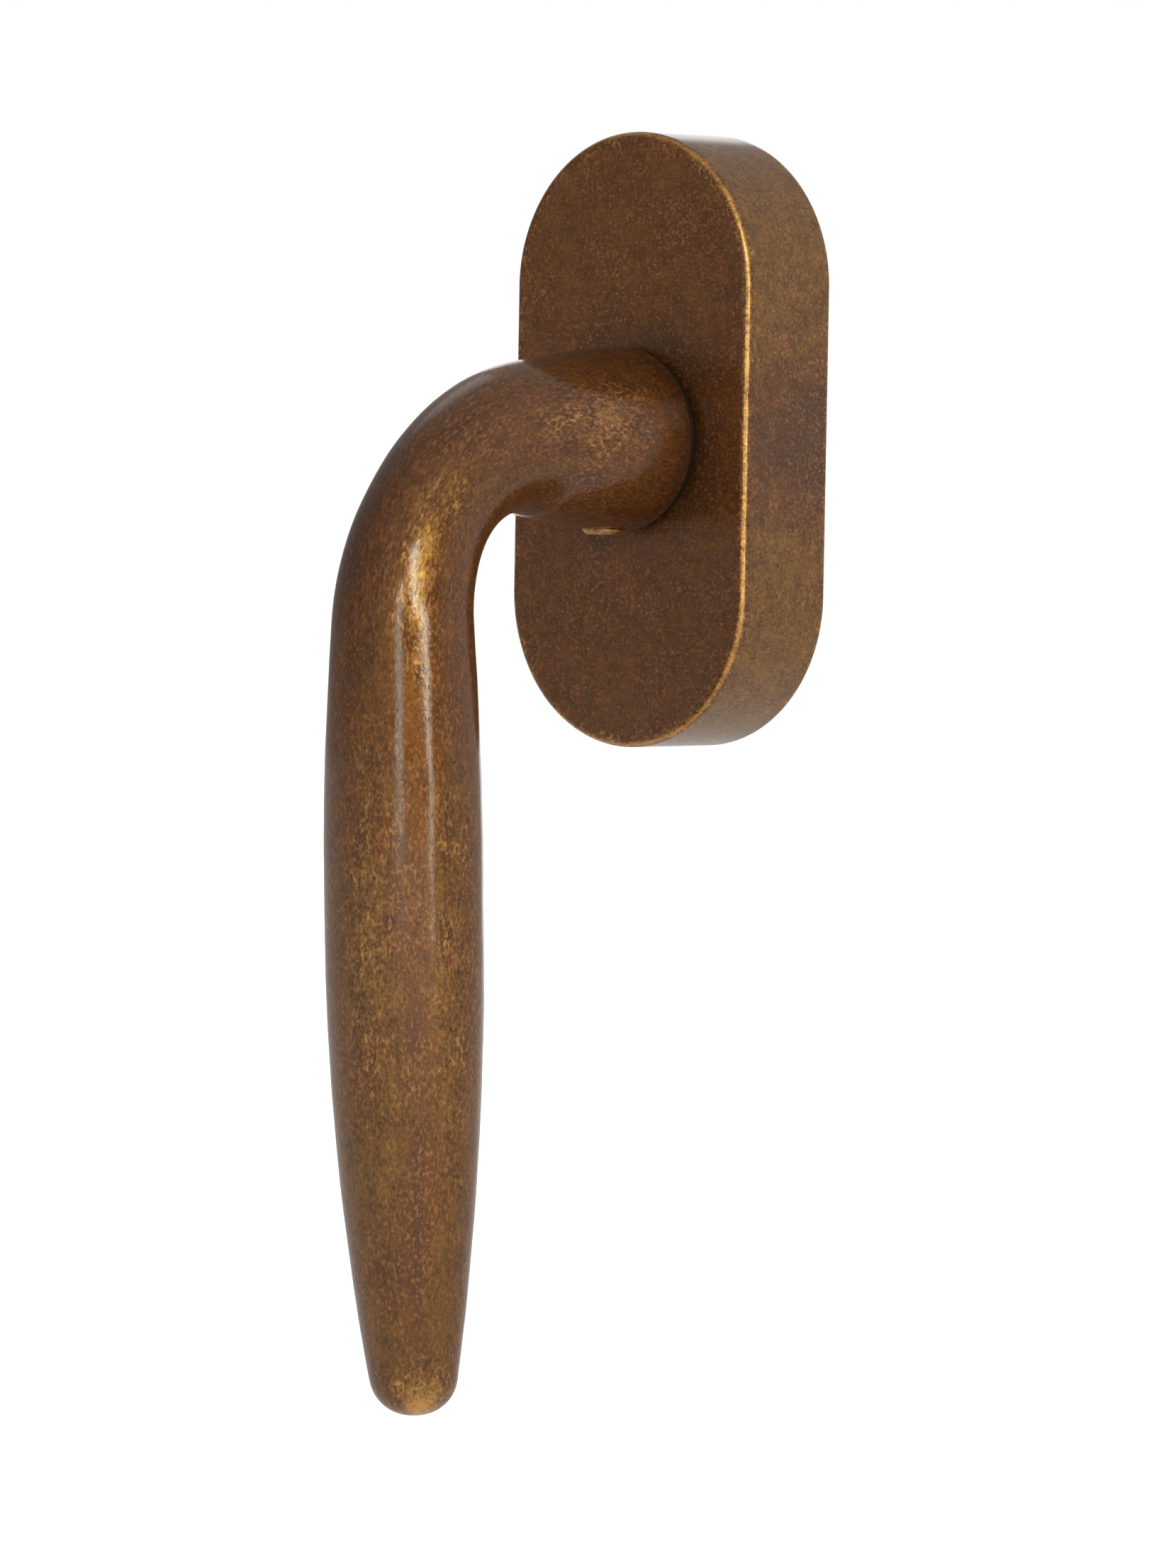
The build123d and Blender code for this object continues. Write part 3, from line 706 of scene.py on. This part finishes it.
def bronze():
    """Bronze with a dark brown patina under clear lacquer: soft clouds, fine grain, gold flecks, reddish
    specks, small pits and rubbed places, and painted shade where the mesh's tone goes below 0."""
    n = new_material("aged_bronze")
    flow = n.attribute("flow", "Vector")
    rub = n.attribute("rub", "Fac")
    tan = n.attribute("tan", "Fac")

    blotch = n.noise(flow, 7.0, 3.0, 0.55, 0.3)
    cloud = n.noise(flow, 1.7, 3.0, 0.6, 0.2)
    mottle = n.noise(flow, 0.75, 2.0, 0.6)
    grain = n.noise(flow, 0.30, 3.0, 0.7)
    fleck = n.noise(flow, 0.42, 2.0, 0.6)
    fleck_field = n.noise(flow, 2.6, 5.0, 0.75, 0.2)
    speck = n.noise(flow, 0.34, 1.0, 0.5)
    pit = n.cells(flow, 0.8)

    # patina: from dark to light by a mixture of three noises, redder or more golden by the mesh's tone
    tan = n.math("ADD", tan, n.ramp(blotch, 0.3, 0.7, -0.25, 0.25))
    light = n.mix(tan, REDDISH_LIGHT, GOLDEN_LIGHT)
    dark = n.mix(tan, REDDISH_DARK, GOLDEN_DARK)
    depth = n.math("ADD", n.math("MULTIPLY", cloud, 0.28), n.math("MULTIPLY", grain, 0.57))
    depth = n.math("ADD", depth, n.math("MULTIPLY", mottle, 0.15))
    contrast = n.ramp(rub, 0.0, 0.3, 3.6, 4.4)
    off_middle = n.math("SUBTRACT", depth, 0.5)
    patchy = n.math("ADD", n.math("MULTIPLY", off_middle, contrast), 0.5, clamp=True)
    brown = n.mix(patchy, dark, light)
    # painted shade: towards a dark brown where the tone goes below 0, round the neck, on the bend and down
    # the grip's middle, and in the rose's side cloud
    brown = n.mix(n.ramp(tan, -0.1, -0.7, 0.0, 0.75), brown, PAINTED_SHADE_BROWN)

    specks = n.math("MULTIPLY", n.ramp(speck, 0.48, 0.76), n.ramp(blotch, 0.66, 0.36, 0.4, 1.0))
    specks = n.math("MULTIPLY", specks, n.ramp(rub, 0.0, 0.4, 0.52, 0.58))
    brown = n.mix(specks, brown, n.mix(tan, REDDISH_SPECK, GOLDEN_SPECK))

    # bare metal: scattered flecks, and the places that rub says are worn
    flecks = n.math("MULTIPLY", n.ramp(fleck, 0.48, 0.66), n.ramp(fleck_field, 0.42, 0.66))
    flecks = n.math("MULTIPLY", flecks, n.ramp(rub, 0.0, 0.3, 0.10, 0.75))
    worn = n.math("ADD", rub, n.math("MULTIPLY", off_middle, 1.9))
    worn = n.math("MULTIPLY", n.ramp(worn, 0.40, 1.15), n.ramp(rub, 0.02, 0.2))
    bare = n.math("MAXIMUM", flecks, worn)
    pits = n.math("MULTIPLY", n.ramp(pit, 0.22, 0.08), n.ramp(fleck_field, 0.45, 0.56))

    colour = n.mix(bare, brown, BARE_BRONZE)
    colour = n.mix(n.math("MULTIPLY", pits, 0.5), colour, PIT_COLOUR)
    metallic = n.ramp(bare, 0.0, 1.0, 0.9, 1.0)
    roughness = n.ramp(bare, 0.0, 1.0, 0.54, 0.40)
    roughness = n.math("ADD", roughness, n.ramp(grain, 0.35, 0.7, -0.04, 0.05))
    normal = n.bump(cloud, 0.04, 0.35)
    normal = n.bump(grain, 0.020, 0.6, normal)
    normal = n.bump(n.math("MULTIPLY", pits, -1.0), 0.03, 0.5, normal)
    return n.finish(
        Base_Color=colour,
        Metallic=metallic,
        Roughness=roughness,
        Normal=normal,
        Coat_Normal=normal,
        Coat_Weight=0.8,
        Coat_Roughness=0.12,
    )


def nylon():
    """Black nylon: dull, with a fine moulded grain. Its brown-black also paints the shade in the gap at the
    neck's end, where the bush's flange shows.
    """
    n = new_material("black_nylon")
    place = n.object_mm()
    grain = n.noise(place, 0.12, 3.0)
    # painted shade: brown-black rather than plain black, so the flange reads as the dark gap round the neck's
    # end
    colour = n.mix(grain, rgb(0.006, 0.0035, 0.002), rgb(0.015, 0.009, 0.005))
    roughness = n.ramp(n.noise(place, 1.5), 0.3, 0.7, 0.7, 0.85)
    normal = n.bump(grain, 0.01, 0.5)
    return n.finish(Base_Color=colour, Roughness=roughness, Normal=normal, Specular_IOR_Level=0.2)


def zinc():
    """Die-cast zinc: dull skin with flow marks and small specks."""
    n = new_material("zinc_casting")
    place = n.object_mm()
    flow_marks = n.noise(n.stretched(place, (1.0, 1.0, 0.35)), 4.0, 5.0, 0.6, 1.2)
    skin_grain = n.noise(place, 0.25, 5.0, 0.65)
    specks = n.ramp(n.cells(place, 1.3), 0.16, 0.06)
    colour = n.mix(n.ramp(flow_marks, 0.35, 0.65), rgb(0.30, 0.30, 0.31), rgb(0.47, 0.46, 0.45))
    colour = n.mix(n.math("MULTIPLY", specks, 0.6), colour, rgb(0.16, 0.155, 0.15))
    roughness = n.ramp(skin_grain, 0.3, 0.7, 0.4, 0.6)
    normal = n.bump(skin_grain, 0.03, 0.5)
    return n.finish(Base_Color=colour, Metallic=0.85, Roughness=roughness, Normal=normal)


# light and dark colour, roughness, and how the lines' pattern is scaled along X, Y and Z
STEELS = {
    "plated_steel": (rgb(0.66, 0.65, 0.60), rgb(0.50, 0.48, 0.43), 0.3, (1.0, 0.05, 1.0)),
    "spring_steel": (rgb(0.40, 0.40, 0.42), rgb(0.30, 0.29, 0.29), 0.3, (1.0, 1.0, 1.0)),
    "ball_steel": (rgb(0.70, 0.70, 0.72), rgb(0.62, 0.62, 0.64), 0.14, (1.0, 1.0, 1.0)),
}


def steel(name, light, dark, roughness, lengthwise):
    """Steel with faint stains and fine dark lines, drawn out along an axis with a small scale."""
    n = new_material(name)
    place = n.object_mm()
    lines = n.noise(n.stretched(place, lengthwise), 0.16, 4.0, 0.6)
    stain = n.noise(place, 3.0, 4.0, 0.6, 0.8)
    colour = n.mix(n.ramp(stain, 0.35, 0.7), light, dark)
    colour = n.mix(n.ramp(lines, 0.58, 0.72, 0.0, 0.35), colour, rgb(0.12, 0.115, 0.11))
    rough = n.ramp(lines, 0.3, 0.7, roughness - 0.06, roughness + 0.08)
    rough = n.math("ADD", rough, n.ramp(stain, 0.4, 0.7, 0.0, 0.08))
    return n.finish(Base_Color=colour, Metallic=1.0, Roughness=rough, Normal=n.bump(lines, 0.008, 0.5))


def floor_material():
    """Pale floor that glows to the camera, so that it comes out near white without flooding the object."""
    n = new_material("studio_floor")
    tone = n.noise(n.object_mm(), 60.0, 4.0)
    colour = n.mix(tone, rgb(0.80, 0.80, 0.795), rgb(0.83, 0.83, 0.825))
    seen = n.make("ShaderNodeLightPath", {}).outputs["Is Camera Ray"]
    glow = n.ramp(seen, 0.0, 1.0, FLOOR_GLOW, FLOOR_GLOW_SEEN)
    return n.finish(Base_Color=colour, Roughness=0.7, Emission_Color=WHITE, Emission_Strength=glow)


def paint(piece, material):
    """Gives a piece, or every slot of a CAD node, this material."""
    if not piece.material_slots:
        piece.data.materials.append(material)
    for held in piece.material_slots:
        held.material = material


# ---- studio -----------------------------------------------------------------------------------------

CAMERA_DISTANCE = 1000.0
CAMERA_AZIMUTH = 41.2
CAMERA_ELEVATION = 2.3
CAMERA_ROLL = 1.03
CAMERA_RIGHT, CAMERA_UP = -14.1, -39.4
CAMERA_LENS = 199.75
CAMERA_SENSOR = 36.0
FLOOR_SIZE = 8000.0
FLOOR_DROP = 150.0  # below the spindle's axis
FLOOR_GLOW, FLOOR_GLOW_SEEN = 0.14, 0.9  # on the object, and to the camera
ROOM_COLOUR = rgb(1.0, 0.985, 0.96)
ROOM_LEFT, ROOM_RIGHT = 0.195, 0.78  # how bright the room is from -X and from +X
DARK_SIDE = 55.0  # azimuth of the room's dark sector
DARK_FROM, DARK_FULL = 0.55, 0.95  # cosines of the angle from there at which it starts and is darkest
DARKEST = 0.05
OBJECT_MIDDLE = Vector((0, -30, -40))


def direction(azimuth, elevation):
    """Unit vector from the object towards this direction. Azimuth 0 is straight out, 90 is to the right."""
    a, e = math.radians(azimuth), math.radians(elevation)
    return Vector((math.sin(a) * math.cos(e), -math.cos(a) * math.cos(e), math.sin(e)))


def make_camera():
    """Camera at the photo's viewing angle, moved right and up by what the photo's framing needs."""
    back = direction(CAMERA_AZIMUTH, CAMERA_ELEVATION)
    right = (-back).cross(Vector((0, 0, 1))).normalized()
    up = right.cross(-back)
    roll = math.radians(CAMERA_ROLL)
    right, up = right * math.cos(roll) + up * math.sin(roll), up * math.cos(roll) - right * math.sin(roll)
    place = back * CAMERA_DISTANCE + right * CAMERA_RIGHT + up * CAMERA_UP
    data = bpy.data.cameras.new("camera")
    data.lens = CAMERA_LENS
    data.sensor_width = CAMERA_SENSOR
    data.clip_start = 0.05
    data.clip_end = 30.0
    camera = bpy.data.objects.new("camera", data)
    axes = Matrix((right, up, back)).transposed().to_4x4()
    camera.matrix_world = Matrix.Translation(place * MM) @ axes
    bpy.context.scene.collection.objects.link(camera)
    bpy.context.scene.camera = camera


def softbox(name, azimuth, elevation, distance, width, height, power, tilt=0, colour=(1.0, 1.0, 1.0)):
    """An area light, with sizes in millimetres, that faces the object from this direction. A tilt in degrees
    leans its top edge over, towards a greater azimuth."""
    data = bpy.data.lights.new(name, "AREA")
    data.shape = "RECTANGLE"
    data.size = width * MM
    data.size_y = height * MM
    data.energy = power
    data.color = colour
    lamp = bpy.data.objects.new(name, data)
    away = direction(azimuth, elevation)
    facing = away.to_track_quat("Z", "Y").to_matrix() @ Matrix.Rotation(math.radians(-tilt), 3, "Z")
    lamp.location = (OBJECT_MIDDLE + away * distance) * MM
    lamp.rotation_euler = facing.to_euler()
    lamp.visible_camera = False
    bpy.context.scene.collection.objects.link(lamp)


def make_floor():
    """A wide flat floor below the object."""
    half = FLOOR_SIZE / 2
    corners = [(-half, -half), (half, -half), (half, half), (-half, half)]
    mesh = bpy.data.meshes.new("floor")
    mesh.from_pydata([Vector((x, y, -FLOOR_DROP)) * MM for x, y in corners], [], [(0, 1, 2, 3)])
    floor = bpy.data.objects.new("floor", mesh)
    bpy.context.scene.collection.objects.link(floor)
    paint(floor, floor_material())


def make_room():
    """White backdrop for the camera. The object sees a room that is brighter on its right, with a dark
    sector."""
    world = bpy.data.worlds.new("studio")
    bpy.context.scene.world = world
    n = Nodes(world)
    backdrop = n.tree.nodes["Background"]
    n.plug(backdrop.inputs["Color"], WHITE)
    n.plug(backdrop.inputs["Strength"], 1.0)
    towards = n.make("ShaderNodeTexCoord", {}).outputs["Generated"]
    sideways = n.make("ShaderNodeSeparateXYZ", {0: towards}).outputs["X"]
    fade = n.ramp(sideways, -1.0, 1.0, ROOM_LEFT, ROOM_RIGHT, "LINEAR")
    dark_side = {0: towards, 1: direction(DARK_SIDE, 0)}
    facing = n.make("ShaderNodeVectorMath", dark_side, operation="DOT_PRODUCT").outputs["Value"]
    shade = n.ramp(facing, DARK_FROM, DARK_FULL, 1.0, DARKEST, "LINEAR")
    light = {"Color": ROOM_COLOUR, "Strength": n.math("MULTIPLY", fade, shade)}
    room = n.make("ShaderNodeBackground", light).outputs[0]
    seen = n.make("ShaderNodeLightPath", {}).outputs["Is Camera Ray"]
    choice = n.make("ShaderNodeMixShader", {0: seen, 1: room, 2: backdrop.outputs[0]}).outputs[0]
    n.plug(n.tree.nodes["World Output"].inputs[0], choice)


def make_studio():
    """Floor, room and lights. The four lights in front are narrow strips, for the grip's long highlights."""
    make_floor()
    softbox("front_left", 25, 6, 1500, 240, 800, 2.9, colour=(0.76, 0.95, 0.93))
    softbox("right_upper", 43, 24, 1200, 190, 495, 3.0, tilt=-31, colour=(0.85, 1.0, 0.95))
    softbox("right_middle", 58, 8.5, 1200, 100, 515, 2.0, tilt=-66, colour=(0.95, 1.0, 0.85))
    softbox("right_lower", 71, -5, 1200, 90, 440, 1.25, tilt=-12, colour=(0.95, 1.0, 0.85))
    softbox("top_left", -117, 42, 1500, 500, 500, 0.4)
    softbox("back_left", -150, 8, 1500, 900, 900, 3.0)
    make_room()
    bpy.context.scene.view_settings.view_transform = "Standard"


# ---- put it together --------------------------------------------------------------------------------


def put(piece, body, looks, slot_name, node):
    """Paints a new piece, sets it on its body and lets it stand for its CAD node."""
    paint(piece, looks[slot_name])
    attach(piece, body)
    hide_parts(node)


def main():
    looks = {"aged_bronze": bronze(), "black_nylon": nylon(), "zinc_casting": zinc()}
    for name, finish in STEELS.items():
        looks[name] = steel(name, *finish)
    for part in frame["record"]["subparts"]:
        paint(frame["nodes"][part["node"]], looks[part["material_slot"]])
    put(make_lever(), "handle", looks, "aged_bronze", "lever_handle")
    put(make_grub_screw(), "handle", looks, "aged_bronze", "neck_grub_screw")
    put(make_rose(), "base", looks, "aged_bronze", "cover_rose")
    put(make_bush(), "base", looks, "black_nylon", "neck_bush")
    for screw in make_mounting_screws():
        put(screw, "base", looks, "plated_steel", "mounting_screws")
    make_camera()
    make_studio()


main()
